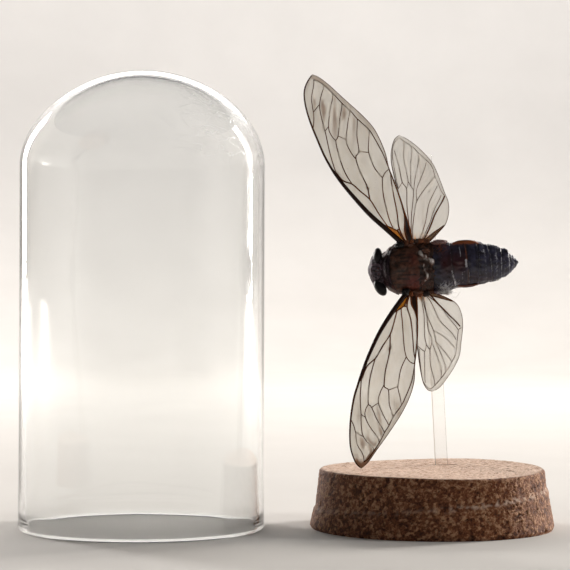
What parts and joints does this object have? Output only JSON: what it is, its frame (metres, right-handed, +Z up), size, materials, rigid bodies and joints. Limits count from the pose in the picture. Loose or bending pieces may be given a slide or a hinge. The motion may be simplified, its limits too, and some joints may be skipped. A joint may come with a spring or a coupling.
{
  "type": "insect in glass dome",
  "caption": "Dried cicada with spread wings, fixed to a clear strip standing in a tapered cork base, with the round-topped glass dome that covers it standing beside the base.",
  "frame": {"origin": "on the table, midway between the dome's axis and the base's axis", "axes": "+Z up, +X from the dome towards the cork base, -Y towards the viewer, whom the insect's back faces"},
  "size_m": [0.1748, 0.08, 0.149],
  "materials": {
    "dome_glass": "clear blown glass with a melted rim, a few hairline scratches",
    "cork": "turned agglomerated cork, matt, granular, dark pits",
    "strip_acetate": "clear acetate strip, cut edges bright",
    "glue": "dried clear glue, slightly yellow",
    "dark_cuticle": "dried insect shell, blue-black brown, satin with dust",
    "brown_cuticle": "dried insect shell, maroon brown, satin",
    "leg_cuticle": "dried insect shell, amber brown, satin",
    "wing_membrane": "thin clear wing membrane, faintly smoky, with dark brown veins"
  },
  "bodies": {
    "root": {"glass_dome": "dome_glass", "cork_base": "cork", "support_strip": "strip_acetate", "glue_pad": "glue", "head": "dark_cuticle", "pronotum": "dark_cuticle", "thorax": "brown_cuticle", "abdomen": "dark_cuticle", "forewing_right": "wing_membrane", "forewing_left": "wing_membrane", "hindwing_right": "wing_membrane", "hindwing_left": "wing_membrane", "foreleg_right": "leg_cuticle", "foreleg_left": "leg_cuticle", "midleg_right": "leg_cuticle", "midleg_left": "leg_cuticle", "hindleg_right": "leg_cuticle", "hindleg_left": "leg_cuticle", "rostrum": "leg_cuticle"}
  },
  "joints": []
}
